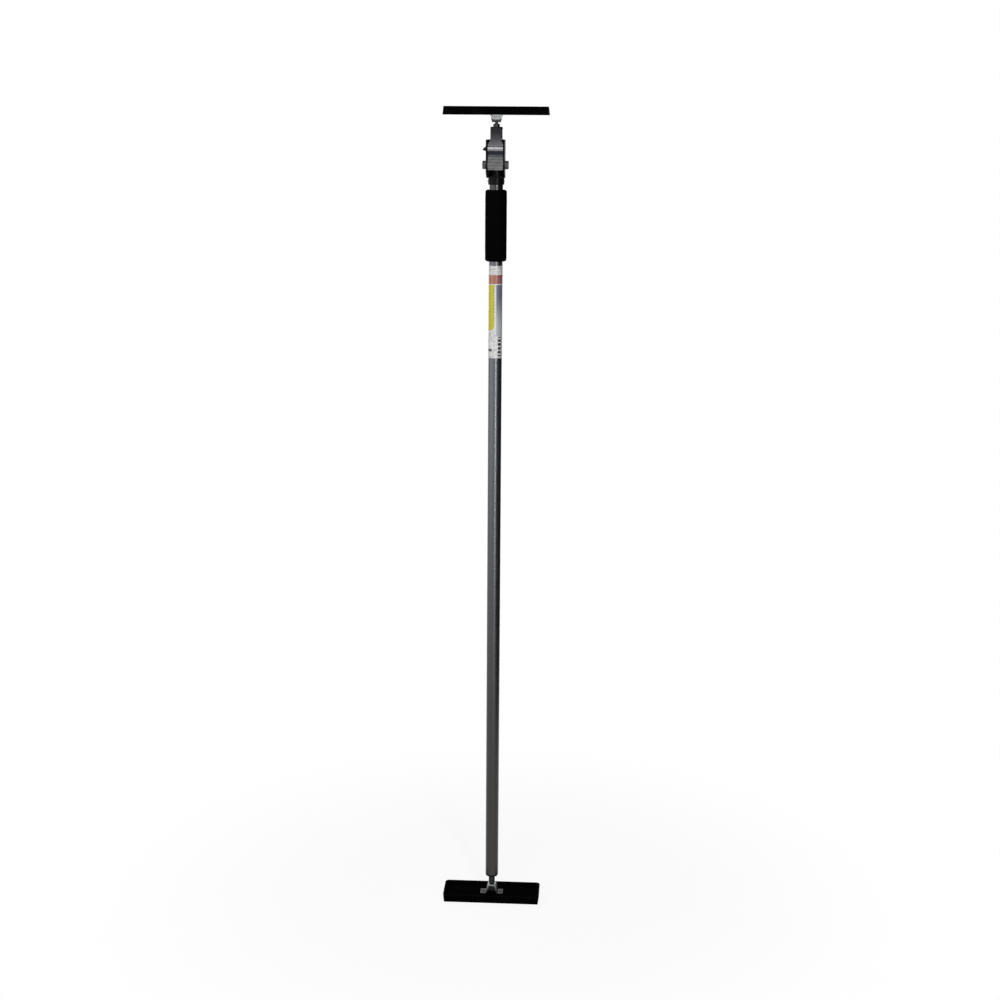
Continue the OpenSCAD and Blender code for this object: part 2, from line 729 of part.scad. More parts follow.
// Side wall of the lever: it reaches back past the pivot to carry the roller
module lever_side_outline() {
    lobe = roller_pin_d / 2 + 2.4;
    front = -rib_face + lever_web - 0.5;
    polygon([[front, -lever_low], [roller_u, roller_v - lobe], [roller_u + lobe * 0.7, roller_v + lobe * 0.7],
             [3.5, 12], [0, ridge_v - 4], [front, ridge_v - 4]]);
    translate([roller_u, roller_v]) circle(lobe);
}

module pivot_bushes() {
    color([0.8, 0.78, 0.7]) at_pivot() for (side = [0, 1]) mirror([side, 0, 0]) difference() {
        rod_x(side_in, lever_half, 0, 0, bush_d / 2);
        rod_x(-head_w, head_w, 0, 0, bolt_d / 2 + bolt_gap);
    }
}

module roller_pin() {
    color([0.6, 0.6, 0.62]) at_pivot() rod_x(-lever_half, lever_half, roller_u, roller_v, roller_pin_d / 2);
}

module lever_roller() {
    half = side_in - 0.4;
    color([0.5, 0.5, 0.5]) at_pivot() difference() {
        rod_x(-half, half, roller_u, roller_v, roller_d / 2);
        rod_x(-head_w, head_w, roller_u, roller_v, roller_pin_d / 2 + 0.05);
    }
}

// ---- Drive and lock ----

module drive_plates() {
    color([0.5, 0.48, 0.45]) for (i = [0 : drive_count - 1])
        translate([0, 0, drive_z + i * drive_pitch]) linear_extrude(drive_t) difference() {
            union() {
                circle(shell_in - bore_clear);
                translate([-tongue_w / 2, -tongue_y]) square([tongue_w, tongue_y]);
            }
            circle(inner_d / 2 + drive_gap);
        }
}

module drive_spring() {
    color([0.62, 0.62, 0.64]) coil(spring_r, spring_wire, drive_turns, drive_top, shelf_z - shelf_t);
}

module lock_plate() {
    left = head_w / 2 + 5;
    right = head_w / 2 - 0.5;
    color([0.45, 0.45, 0.46]) translate([0, 0, lock_z]) linear_extrude(lock_t) difference() {
        union() {
            circle(shell_in - bore_clear);
            translate([-left, -arm_y - arm_w / 2]) square([left + right, arm_w]);
        }
        circle(inner_d / 2 + lock_bore_gap);
    }
}

// Plastic cap on the lock plate's left arm, drawn out to a tip
module release_tab() {
    near = head_w / 2 + 0.5;
    low = 2.5;
    high = 3;
    cap_w = arm_w + 3;
    color([0.05, 0.05, 0.05]) difference() {
        front_plate(-arm_y - cap_w / 2, -arm_y + cap_w / 2)
            polygon([[-near, lock_z - low], [-near, lock_top + high], [-release_x, lock_z + lock_t / 2 - 1],
                     [-release_x, lock_z + lock_t / 2 - 2.4]]);
        translate([-head_w / 2 - 5, -arm_y - arm_w / 2, lock_z]) cube([head_w, arm_w, lock_t]);
    }
}

module lock_spring() {
    color([0.62, 0.62, 0.64]) coil(spring_r, spring_wire, lock_turns, lock_top, bush_z);
}

foot_pad();
foot_plate();
foot_bracket();
foot_rivets();
foot_seat();
foot_liner();
foot_stud();
foot_plug();
outer_tube();
label_sleeve();
foam_grip();
head_collar();
collar_pins();
head_housing();
spring_shelf();
guide_bush();
pivot_bolt();
pivot_nut();
pivot_washers();
lever_spring();
pump_lever();
pivot_bushes();
roller_pin();
lever_roller();
drive_plates();
drive_spring();
lock_plate();
release_tab();
lock_spring();
inner_tube();
stop_plug();
top_plug();
top_stud();
top_liner();
top_seat();
top_bracket();
top_rivets();
top_plate();
top_pad();
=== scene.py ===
import json
import math

import bmesh
import bpy
from mathutils import Matrix, Vector, noise

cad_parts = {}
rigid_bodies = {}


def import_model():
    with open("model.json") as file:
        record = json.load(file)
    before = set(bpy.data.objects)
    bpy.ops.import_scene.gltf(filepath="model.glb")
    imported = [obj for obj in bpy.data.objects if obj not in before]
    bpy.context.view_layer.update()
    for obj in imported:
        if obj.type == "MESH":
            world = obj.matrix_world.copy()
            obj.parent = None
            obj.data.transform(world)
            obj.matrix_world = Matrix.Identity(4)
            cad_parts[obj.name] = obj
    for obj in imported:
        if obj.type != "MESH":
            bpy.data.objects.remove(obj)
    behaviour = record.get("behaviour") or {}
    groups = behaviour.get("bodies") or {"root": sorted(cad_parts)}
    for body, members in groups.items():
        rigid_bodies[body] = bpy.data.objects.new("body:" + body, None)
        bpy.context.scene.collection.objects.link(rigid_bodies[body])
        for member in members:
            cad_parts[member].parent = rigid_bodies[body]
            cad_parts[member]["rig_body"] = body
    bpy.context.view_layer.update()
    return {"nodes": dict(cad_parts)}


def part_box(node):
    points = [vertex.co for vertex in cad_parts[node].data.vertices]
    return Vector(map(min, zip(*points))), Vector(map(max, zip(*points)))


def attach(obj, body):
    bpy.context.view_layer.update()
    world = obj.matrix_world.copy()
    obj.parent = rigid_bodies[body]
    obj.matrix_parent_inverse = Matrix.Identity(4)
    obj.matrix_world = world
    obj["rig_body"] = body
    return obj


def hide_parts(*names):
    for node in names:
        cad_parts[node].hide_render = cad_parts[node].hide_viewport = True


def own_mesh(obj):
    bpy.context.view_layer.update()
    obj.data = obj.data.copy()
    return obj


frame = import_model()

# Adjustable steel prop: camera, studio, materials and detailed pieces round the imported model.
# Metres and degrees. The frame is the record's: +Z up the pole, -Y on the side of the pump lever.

NODES = frame["nodes"]
SCENE = bpy.context.scene
MM = 0.001


# ---- Camera ----

CAMERA_DISTANCE = 3.068
CAMERA_HEIGHT = 1.520
CAMERA_AZIMUTH = 3.4
CAMERA_PITCH = 13.0
CAMERA_ROLL = 0.41
POLE_LEFT_OF_VIEW = 0.011    # the middle of the view passes the pole on its right by this much
LENS = 60                    # millimetres, on a sensor as wide as the next value
SENSOR_WIDTH = 36


def make_camera():
    data = bpy.data.cameras.new("camera")
    data.lens = LENS
    data.sensor_width = SENSOR_WIDTH
    camera = bpy.data.objects.new("camera", data)
    SCENE.collection.objects.link(camera)
    side = math.radians(CAMERA_AZIMUTH)
    place = Vector((math.sin(side), -math.cos(side), 0)) * CAMERA_DISTANCE
    place.z = CAMERA_HEIGHT
    heading = side - math.atan(POLE_LEFT_OF_VIEW / CAMERA_DISTANCE)
    turn = (Matrix.Rotation(heading, 4, "Z")
            @ Matrix.Rotation(math.radians(90 - CAMERA_PITCH), 4, "X")
            @ Matrix.Rotation(math.radians(CAMERA_ROLL), 4, "Z"))
    camera.matrix_world = Matrix.Translation(place) @ turn
    SCENE.camera = camera


# ---- Studio ----

WORLD_ON_MATT = 0.15        # the world's strength for rays that only light matt surfaces
FLOOR_TONE = 0.94
FLOOR_UNSEEN = 0.25         # the floor's grey for those rays
FLOOR_RADIUS = 30
FLOOR_GAP = 0.5 * MM        # below the foot, so that the two don't coincide
FADE_START = 0.25           # from here out the floor's glow grows
FADE_END = 0.9              # from here on it is all glow, as white as the backdrop
GLOW_AT_POLE = 0.88
FLAG_PLACE = (0.9, 0.35, 1.3)
FLAG_HEIGHT = 2.6
FLAG_LENGTH = 3.0
FLAG_TONE = 0.01
LIGHT_AIM = Vector((0, 0, 0.8))

# Name, degrees from the camera's azimuth, distance, height, width and height of the softbox, watts
LIGHTS = (
    ("key", 14, 2.6, 1.25, 0.28, 2.5, 39),
    ("fill", -62, 2.6, 1.3, 3.4, 2.4, 26),
    ("top", -6, 1.3, 3.6, 1.0, 0.8, 38),
    ("back", -158, 3.0, 1.8, 2.0, 2.4, 22),
)


def grey(tone):
    return (tone, tone, tone, 1)


def feed(tree, socket, value):
    """Sets a socket to a value, or links it to another socket."""
    if isinstance(value, bpy.types.NodeSocket):
        tree.links.new(value, socket)
    else:
        socket.default_value = value


def math_node(tree, operation, *values):
    made = tree.nodes.new("ShaderNodeMath")
    made.operation = operation
    for socket, value in zip(made.inputs, values):
        feed(tree, socket, value)
    return made.outputs[0]


def seen_share(tree):
    """1 for rays that see the backdrop, also in metal or glass. 0 for those that light matt surfaces."""
    path = tree.nodes.new("ShaderNodeLightPath")
    camera, through = path.outputs["Is Camera Ray"], path.outputs["Is Transmission Ray"]
    straight = math_node(tree, "MAXIMUM", camera, through)
    return math_node(tree, "MAXIMUM", straight, path.outputs["Is Glossy Ray"])


def make_world():
    world = bpy.data.worlds.new("studio")
    SCENE.world = world
    world.use_nodes = True
    tree = world.node_tree
    background = tree.nodes["Background"]
    background.inputs["Color"].default_value = grey(1)
    strength = math_node(tree, "MAXIMUM", seen_share(tree), WORLD_ON_MATT)
    tree.links.new(strength, background.inputs["Strength"])


def mix_shaders(tree, share, first, second):
    made = tree.nodes.new("ShaderNodeMixShader")
    for socket, value in zip(made.inputs, (share, first, second)):
        feed(tree, socket, value)
    return made.outputs[0]


def floor_fade(tree):
    """The share of glow in the floor, which grows with the distance from the pole."""
    coords = tree.nodes.new("ShaderNodeTexCoord")
    length = tree.nodes.new("ShaderNodeVectorMath")
    length.operation = "LENGTH"
    fade = tree.nodes.new("ShaderNodeMapRange")
    fade.interpolation_type = "SMOOTHSTEP"
    fade.inputs["From Min"].default_value = FADE_START
    fade.inputs["From Max"].default_value = FADE_END
    fade.inputs["To Min"].default_value = GLOW_AT_POLE
    tree.links.new(coords.outputs["Object"], length.inputs[0])
    tree.links.new(length.outputs["Value"], fade.inputs["Value"])
    return fade.outputs["Result"]


def make_floor():
    """A white floor that takes the object's shadow near it and glows like the backdrop farther out."""
    bpy.ops.mesh.primitive_circle_add(
        vertices=96, radius=FLOOR_RADIUS, fill_type="NGON", location=(0, 0, -FLOOR_GAP))
    floor = bpy.context.object
    floor.name = "floor"
    material = bpy.data.materials.new("floor")
    material.use_nodes = True
    tree = material.node_tree
    white = tree.nodes["Principled BSDF"]
    white.inputs["Base Color"].default_value = grey(FLOOR_TONE)
    white.inputs["Roughness"].default_value = 0.8
    white.inputs["Specular IOR Level"].default_value = 0.1
    glow = tree.nodes.new("ShaderNodeEmission")
    dark = tree.nodes.new("ShaderNodeBsdfDiffuse")
    dark.inputs["Color"].default_value = grey(FLOOR_UNSEEN)
    seen = mix_shaders(tree, floor_fade(tree), white.outputs[0], glow.outputs[0])
    shown = mix_shaders(tree, seen_share(tree), dark.outputs[0], seen)
    tree.links.new(shown, tree.nodes["Material Output"].inputs["Surface"])
    floor.data.materials.append(material)


def area_light(name, azimuth, distance, height, box_width, box_height, power):
    """A softbox at that azimuth, aimed at the pole's middle."""
    data = bpy.data.lights.new(name, "AREA")
    data.shape = "RECTANGLE"
    data.size = box_width
    data.size_y = box_height
    data.energy = power
    light = bpy.data.objects.new(name, data)
    SCENE.collection.objects.link(light)
    side = math.radians(azimuth)
    light.location = (math.sin(side) * distance, -math.cos(side) * distance, height)
    aim = LIGHT_AIM - light.location
    light.rotation_mode = "QUATERNION"
    light.rotation_quaternion = aim.to_track_quat("-Z", "Y")


def black_flag():
    """A black card on the right, which darkens that side of the tubes. The camera sees past it."""
    upright = (0, math.radians(90), 0)
    bpy.ops.mesh.primitive_plane_add(size=1, location=FLAG_PLACE, rotation=upright)
    flag = bpy.context.object
    flag.name = "flag"
    flag.scale = (FLAG_HEIGHT, FLAG_LENGTH, 1)
    flag.visible_camera = False
    material = bpy.data.materials.new("flag")
    material.use_nodes = True
    black = material.node_tree.nodes["Principled BSDF"]
    black.inputs["Base Color"].default_value = grey(FLAG_TONE)
    black.inputs["Roughness"].default_value = 1.0
    flag.data.materials.append(material)


def make_studio():
    SCENE.view_settings.view_transform = "Standard"
    make_world()
    make_floor()
    black_flag()
    for name, turn, *softbox in LIGHTS:
        area_light(name, CAMERA_AZIMUTH + turn, *softbox)


# ---- Materials ----

# Places of the colour sockets in a Mix node, whose sockets for numbers, vectors and colours share names
MIX_COLOUR_A = 6
MIX_COLOUR_B = 7
MIX_COLOUR_OUT = 2

# Most of a noise texture stays between these values
NOISE_LOW = 0.3
NOISE_HIGH = 0.7

DRAWN = (1, 1, 0.05)         # stretches noise to grain along the part
NECK_SHADE = (0.02, 0.02, 0.021)   # painted shade on metal, round the top ball


class Surface:
    """A Principled material whose colour, roughness and bump come from procedural textures."""

    def __init__(self, name, metallic=0.0, specular=0.5):
        self.material = bpy.data.materials.new(name)
        self.material.use_nodes = True
        self.tree = self.material.node_tree
        self.shader = self.tree.nodes["Principled BSDF"]
        self.shader.inputs["Metallic"].default_value = metallic
        self.shader.inputs["Specular IOR Level"].default_value = specular
        self.coords = self.tree.nodes.new("ShaderNodeTexCoord").outputs["Object"]
        self.height = None

    def node(self, kind, **inputs):
        made = self.tree.nodes.new(kind)
        for key, value in inputs.items():
            feed(self.tree, made.inputs[key], value)
        return made

    def noise(self, scale, detail=4, stretch=(1, 1, 1)):
        """Noise from 0 to 1, with that many features to the metre."""
        mapping = self.node("ShaderNodeMapping", Vector=self.coords, Scale=stretch)
        made = self.node("ShaderNodeTexNoise", Vector=mapping.outputs[0], Scale=scale, Detail=detail)
        return made.outputs["Fac"]

    def spots(self, scale):
        return self.node("ShaderNodeTexVoronoi", Vector=self.coords, Scale=scale).outputs["Distance"]

    def axis(self, letter):
        return self.node("ShaderNodeSeparateXYZ", Vector=self.coords).outputs[letter]

    def math(self, operation, *values):
        return math_node(self.tree, operation, *values)

    def fit(self, value, low, high, to_low=0.0, to_high=1.0, smooth=True):
        """value taken from low..high to to_low..to_high, and held there outside."""
        made = self.tree.nodes.new("ShaderNodeMapRange")
        made.interpolation_type = "SMOOTHSTEP" if smooth else "LINEAR"
        for key, given in (("Value", value), ("From Min", low), ("From Max", high),
                           ("To Min", to_low), ("To Max", to_high)):
            feed(self.tree, made.inputs[key], given)
        return made.outputs["Result"]

    def uneven(self, low, high, scale, detail=4, stretch=(1, 1, 1)):
        """A value that wanders from low to high with noise of that scale."""
        return self.fit(self.noise(scale, detail, stretch), NOISE_LOW, NOISE_HIGH, low, high)

    def near(self, height, full, gone):
        """1 within full of that height in the row frame, and 0 from gone on."""
        return self.fit(self.math("ABSOLUTE", self.math("SUBTRACT", self.axis("Z"), height)), gone, full)

    def mix(self, share, first, second):
        made = self.tree.nodes.new("ShaderNodeMix")
        made.data_type = "RGBA"
        feed(self.tree, made.inputs["Factor"], share)
        for socket, value in ((made.inputs[MIX_COLOUR_A], first), (made.inputs[MIX_COLOUR_B], second)):
            opaque = value if isinstance(value, bpy.types.NodeSocket) else (*value, 1)
            feed(self.tree, socket, opaque)
        return made.outputs[MIX_COLOUR_OUT]

    def ramp(self, value, stops):
        """A colour that runs through the stops: a value and a colour each, in rising order."""
        first, last = stops[0][0], stops[-1][0]
        made = self.node("ShaderNodeValToRGB", Fac=self.fit(value, first, last, smooth=False))
        tones = made.color_ramp.elements
        for place, _ in stops[1:-1]:
            tones.new((place - first) / (last - first))
        for element, (_, tone) in zip(tones, stops):
            element.color = (*tone, 1)
        return made.outputs["Color"]

    def colour(self, value):
        feed(self.tree, self.shader.inputs["Base Color"], value)

    def roughness(self, value):
        feed(self.tree, self.shader.inputs["Roughness"], value)

    def bump(self, height, depth):
        """Adds relief: height 1 stands depth metres above height 0."""
        made = self.node("ShaderNodeBump", Strength=1.0, Distance=depth, Height=height)
        if self.height is not None:
            self.tree.links.new(self.height, made.inputs["Normal"])
        self.height = made.outputs[0]
        feed(self.tree, self.shader.inputs["Normal"], self.height)
        return self


# Share of a surface's own colour that shows through painted shade near the floor, at three heights over the
# floor
FLOOR_SHADE_STOPS = (
    (12 * MM, (0.02, 0.02, 0.02)),
    (24 * MM, (0.6, 0.6, 0.6)),
    (400 * MM, (1.0, 1.0, 1.0)),
)


def rubber():
    s = Surface("rubber", specular=0.003)
    dust = s.fit(s.noise(38, 6), 0.5, 0.8)
    s.colour(s.mix(dust, (0.001, 0.001, 0.0011), (0.0032, 0.0032, 0.0034)))
    s.roughness(s.uneven(0.55, 0.7, 160))
    return s.bump(s.noise(2600, 3), 0.06 * MM).bump(s.noise(90, 2), 0.15 * MM).material


def foam():
    s = Surface("foam", specular=0.006)
    cells = s.fit(s.spots(1500), 0.0, 0.6)
    s.colour(s.mix(s.noise(45, 5), (0.0008, 0.0008, 0.0009), (0.0022, 0.0022, 0.0023)))
    s.roughness(s.uneven(0.75, 0.92, 300))
    return s.bump(cells, 0.12 * MM).bump(s.noise(260, 3), 0.2 * MM).material


def moulded(s):
    """Finishes a surface with the faint peel of moulded nylon."""
    s.roughness(s.uneven(0.36, 0.5, 400))
    return s.bump(s.noise(1400, 3), 0.04 * MM).material


def drawn(s, rough):
    """Finishes a surface with fine grain along the part."""
    s.roughness(s.uneven(*rough, 700, 5, DRAWN))
    return s.bump(s.noise(1500, 4, DRAWN), 0.02 * MM).material


def top_neck():
    """Height of the top bracket's narrow end, where the ball sits and painted shade darkens the zinc and the
    seat.
    """
    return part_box("top_bracket")[0].z


def nylon(name, dark, light, specular=0.35):
    s = Surface(name, specular=specular)
    s.colour(s.mix(s.noise(120, 5), dark, light))
    return moulded(s)


def zinc(name, dark, light, rough):
    """Zinc plate: spangles of slightly different grey, darkened by painted shade near the floor and round
    the top ball.
    """
    s = Surface(name, metallic=0.6)
    spangle = s.math("MULTIPLY", s.fit(s.spots(420), 0.1, 0.8), s.noise(80, 3))
    # Painted shade: the zinc is darkened towards the floor
    unshaded_share = s.ramp(s.axis("Z"), FLOOR_SHADE_STOPS)
    bare = s.mix(unshaded_share, (0.022, 0.022, 0.023), s.mix(spangle, dark, light))
    # Painted shade: the zinc darkens round the top bracket's neck
    s.colour(s.mix(s.near(top_neck(), 4 * MM, 9 * MM), bare, NECK_SHADE))
    s.roughness(s.uneven(*rough, 500, 5, (1, 1, 0.15)))
    return s.bump(s.noise(900, 4, (1, 1, 0.1)), 0.02 * MM).material


def seat_nylon():
    """Grey nylon, darkened by painted shade round the top ball and at the foot."""
    s = Surface("grey_nylon", specular=0.3)
    clean = s.mix(s.noise(120, 5), (0.56, 0.575, 0.58), (0.70, 0.715, 0.72))
    # Painted shade round the top ball
    shaded = s.mix(s.near(top_neck(), 3 * MM, 6 * MM), clean, (0.02, 0.02, 0.02))
    # Painted shade on the foot's seat, under the strap's arch
    s.colour(s.mix(s.fit(s.axis("Z"), 0.4, 0.1), shaded, (0.008, 0.008, 0.008)))
    return moulded(s)


def steel(name, dark, light, rough, metallic=1.0):
    """Drawn or ground steel. rough is the range of its roughness."""
    s = Surface(name, metallic=metallic)
    s.colour(s.mix(s.noise(60, 6), dark, light))
    return drawn(s, rough)


def inner_tube_steel():
    """Drawn steel, with a dark ring of painted shade where the plates hold the closed tube."""
    s = Surface("inner_steel", metallic=1.0)
    bare = s.mix(s.noise(60, 6), (0.40, 0.405, 0.41), (0.54, 0.545, 0.55))
    low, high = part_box("head_housing")
    middle = (low.z + high.z) / 2
    half = (high.z - low.z) / 2
    # Painted shade: a dark ring on the tube inside the housing
    ring = s.near(middle, half - 4 * MM, half + 2 * MM)
    s.colour(s.mix(ring, bare, (0.06, 0.058, 0.055)))
    return drawn(s, (0.34, 0.46))


def tube_paint():
    """Gunmetal powder coat: long soft streaks and fine peel, with painted shade darkening it towards the
    foot and on the stub above the grip.
    """
    s = Surface("tube_paint", metallic=0.85, specular=0.4)
    height = s.axis("Z")
    streaks = s.noise(30, 5, (1, 1, 0.12))
    unshaded_high = s.mix(streaks, (0.088, 0.091, 0.100), (0.112, 0.115, 0.126))
    shaded_low = s.mix(streaks, (0.043, 0.042, 0.041), (0.060, 0.058, 0.056))
    grip_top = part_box("foam_grip")[1].z
    # Painted shade on the stub above the grip, which is also made glossier
    shaded = s.fit(height, grip_top - 2 * MM, grip_top + 2 * MM)
    # Painted shade: the paint darkens towards the foot
    paint_shaded_low = s.mix(s.fit(height, 0.1, 1.2), shaded_low, unshaded_high)
    s.colour(s.mix(shaded, paint_shaded_low, (0.045, 0.045, 0.047)))
    dry = s.uneven(0.27, 0.36, 220, 5, (1, 1, 0.3))
    s.roughness(s.math("MULTIPLY", dry, s.math("MULTIPLY_ADD", shaded, -0.35, 1.0)))
    return s.bump(s.noise(1100, 3), 0.03 * MM).bump(s.noise(420, 4, (1, 1, 0.02)), 0.03 * MM).material


def housing_paint():
    s = Surface("housing_black", specular=0.06)
    s.colour(s.mix(s.noise(90, 5), (0.0025, 0.0025, 0.0028), (0.006, 0.006, 0.0065)))
    s.roughness(s.uneven(0.24, 0.34, 300))
    return s.bump(s.noise(900, 3), 0.04 * MM).bump(s.noise(150, 2), 0.1 * MM).material


# Colours of the pump lever at heights over its pivot, with painted shade under the finger ridge and a
# painted highlight along it
LEVER_SHADING_STOPS = (
    (-22 * MM, (0.13, 0.13, 0.133)),       # foot of the ribs
    (14 * MM, (0.105, 0.105, 0.108)),      # top rib
    (19 * MM, (0.014, 0.015, 0.022)),      # painted shade in the hollow under the finger ridge
    (24.2 * MM, (0.02, 0.022, 0.03)),
    (25.6 * MM, (0.34, 0.34, 0.355)),      # painted highlight along the ridge
    (29 * MM, (0.36, 0.36, 0.375)),
    (31 * MM, (0.20, 0.20, 0.205)),
    (34 * MM, (0.09, 0.09, 0.096)),        # shoulder
    (40 * MM, (0.062, 0.062, 0.067)),
    (48 * MM, (0.036, 0.036, 0.038)),      # tab
    (55 * MM, (0.016, 0.016, 0.018)),
    (66 * MM, (0.004, 0.004, 0.005)),
)


def lever_paint():
    """Satin grey paint on a casting, with a painted highlight along the finger ridge and painted shade under
    it, and darker up the tab above it.
    """
    s = Surface("lever_grey", metallic=0.8, specular=0.2)
    bolt_low, bolt_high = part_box("pivot_bolt")
    over_pivot = s.math("SUBTRACT", s.axis("Z"), (bolt_low.z + bolt_high.z) / 2)
    # Painted highlight and painted shade at the finger ridge
    tone = s.ramp(over_pivot, LEVER_SHADING_STOPS)
    s.colour(s.mix(s.uneven(0.0, 0.3, 160, 5), tone, (0.03, 0.03, 0.031)))
    s.roughness(s.uneven(0.42, 0.52, 350))
    return s.bump(s.noise(1000, 3), 0.015 * MM).bump(s.noise(120, 2), 0.02 * MM).material


PRINT_SOFT = 0.3     # half the blurred edge of a printed panel, in millimetres
TURN_SOFT = 1.2      # the same round the tube, in degrees
INK = (0.03, 0.03, 0.03)


def label_film():
    """A printed film: plain colour blocks, bars and a scale of ticks, with no lettering.

    A place on it is a depth below its upper edge and an angle to the right of its front.
    """
    s = Surface("label", specular=0.4)
    down = s.math("SUBTRACT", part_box("label_sleeve")[1].z, s.axis("Z"))
    turn = s.math("ARCTAN2", s.axis("X"), s.math("MULTIPLY", s.axis("Y"), -1.0))

    def inside(value, start, end, soft):
        entered = s.fit(value, start - soft, start + soft)
        return s.math("MULTIPLY", entered, s.fit(value, end + soft, end - soft))

    def panel(top, bottom, left, right, rounded=0.0):
        """1 between two depths in millimetres and two angles in degrees. rounded lifts the lower corners."""
        middle = math.radians((left + right) / 2)
        half = math.radians((right - left) / 2)
        from_middle = s.math("DIVIDE", s.math("SUBTRACT", turn, middle), half)
        lower = s.math("MULTIPLY_ADD", s.math("POWER", from_middle, 4.0), rounded * MM, down)
        under_top = s.fit(down, (top - PRINT_SOFT) * MM, (top + PRINT_SOFT) * MM)
        over_bottom = s.fit(lower, (bottom + PRINT_SOFT) * MM, (bottom - PRINT_SOFT) * MM)
        height = s.math("MULTIPLY", under_top, over_bottom)
        width = inside(turn, math.radians(left), math.radians(right), math.radians(TURN_SOFT))
        return s.math("MULTIPLY", height, width)

    def stripes(half_pitch, half_width, soft, area):
        """1 on stripes across the area, with all three sizes in millimetres."""
        wave = s.math("PINGPONG", down, half_pitch * MM)
        return s.math("MULTIPLY", inside(wave, 0.0, half_width * MM, soft * MM), area)

    film = s.mix(s.fit(s.noise(260, 8), 0.32, 0.58), (0.45, 0.45, 0.46), (0.68, 0.68, 0.68))
    speckle = s.fit(s.noise(420, 4), 0.4, 0.6)
    orange = s.mix(speckle, (0.46, 0.12, 0.06), (0.30, 0.20, 0.13))
    crimson = s.mix(speckle, (0.34, 0.06, 0.06), (0.20, 0.15, 0.15))
    band = s.mix(s.fit(turn, -0.5, 0.4), orange, crimson)
    yellow = s.mix(s.noise(90, 3), (0.44, 0.40, 0.018), (0.56, 0.51, 0.036))
    blue = s.mix(s.fit(down, 50 * MM, 115 * MM), (0.14, 0.15, 0.20), (0.42, 0.43, 0.46))
    shown = s.mix(panel(16.5, 33.0, -105, 96), film, band)
    shown = s.mix(panel(34.5, 118.0, -92, -5, 7.0), shown, yellow)
    shown = s.mix(panel(34.5, 128.0, 9, 70), shown, blue)
    ticks = stripes(3.0, 0.45, 0.12, panel(40.0, 100.0, -18, -8))
    bars = stripes(3.6, 2.3, 0.15, panel(130.0, 166.0, 26, 58))
    rule = panel(152.5, 157.0, -88, -26)
    lines = s.math("MULTIPLY", stripes(1.6, 0.5, 0.1, panel(4.0, 13.5, -50, 62)), 0.4)
    inked = s.math("MAXIMUM", s.math("MAXIMUM", ticks, bars), s.math("MAXIMUM", rule, lines))
    s.colour(s.mix(inked, shown, INK))
    s.roughness(s.uneven(0.3, 0.4, 200))
    return s.bump(s.noise(500, 3, (1, 1, 0.3)), 0.02 * MM).material


# ---- Pieces ----

CREASE = 32                # degrees: sharper edges of CAD copies stay edges and are rounded
MESH_CREASE = 60           # the same for the meshes made here, with no rounding
WELD = 0.01 * MM
FLAT_WITHIN = 0.6          # degrees between faces that are joined into one

SPRING_WIRE = 1.4 * MM
DRIVE_TURNS = 3.5
LOCK_TURNS = 2.5
STEPS_PER_TURN = 40
WIRE_SIDES = 12
CLOSED_SHARE = 0.16        # of a coil's turns, wound flat at each end

FOAM_SIDES = 128
FOAM_ROWS = 150
FOAM_CLEARANCE = 0.2 * MM  # round the outer tube
FOAM_EDGE = 4.2 * MM       # rounding of the ends
FOAM_FLAT = 1.2 * MM       # a ring this far inside the rounding keeps the end face flat
FOAM_SWELL = 0.35 * MM     # the middle stands out by this much
FOAM_WAVES = ((70, 0.25 * MM), (240, 0.1 * MM))    # noise cells to the metre, and the waves' height


def copy_mesh(node, name):
    """The CAD node's mesh as a new object, with its flat faces joined into single ones."""
    mesh = NODES[node].data.copy()
    mesh.materials.clear()
    b = bmesh.new()
    b.from_mesh(mesh)
    bmesh.ops.remove_doubles(b, verts=b.verts, dist=WELD)
    bmesh.ops.dissolve_limit(b, angle_limit=math.radians(FLAT_WITHIN), verts=b.verts, edges=b.edges)
    b.to_mesh(mesh)
    b.free()
    piece = bpy.data.objects.new(name, mesh)
    SCENE.collection.objects.link(piece)
    return piece


def shade(piece, crease):
    for face in piece.data.polygons:
        face.use_smooth = True
    piece.data.set_sharp_from_angle(angle=math.radians(crease))


def stand_in(piece, node):
    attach(piece, NODES[node]["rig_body"])
    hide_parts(node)


def dress(node, material, rounding=0.0, segments=3):
    """A copy of a CAD node with rounded edges, which stands for it."""
    piece = copy_mesh(node, node + "_shape")
    piece.data.materials.append(material)
    shade(piece, CREASE)
    if rounding:
        bevel = piece.modifiers.new("rounding", "BEVEL")
        bevel.width = rounding
        bevel.segments = segments
        bevel.limit_method = "ANGLE"
        bevel.angle_limit = math.radians(CREASE)
        bevel.harden_normals = True
        bevel.use_clamp_overlap = True
    stand_in(piece, node)


def paint(node, material):
    """The CAD node itself, with a better material."""
    NODES[node].data.materials.clear()
    NODES[node].data.materials.append(material)


def mesh_piece(name, vertices, faces, material, node):
    """A new mesh in the row frame, which stands for a CAD node."""
    mesh = bpy.data.meshes.new(name)
    mesh.from_pydata(vertices, [], faces)
    mesh.validate()
    mesh.materials.append(material)
    piece = bpy.data.objects.new(name, mesh)
    SCENE.collection.objects.link(piece)
    shade(piece, MESH_CREASE)
    stand_in(piece, node)
    return piece


def rings_to_faces(rings, sides, closed):
    """Quads between rings of points, with flat caps unless the last ring joins the first."""
    last = rings if closed else rings - 1
    faces = []
    for i in range(last):
        ring = i * sides
        next_ring = (i + 1) % rings * sides
        for j in range(sides):
            k = (j + 1) % sides
            faces.append((ring + j, ring + k, next_ring + k, next_ring + j))
    if not closed:
        faces.append(tuple(range(sides - 1, -1, -1)))
        faces.append(tuple((rings - 1) * sides + j for j in range(sides)))
    return faces


def held(value):
    """The value, kept between 0 and 1."""
    return min(max(value, 0), 1)


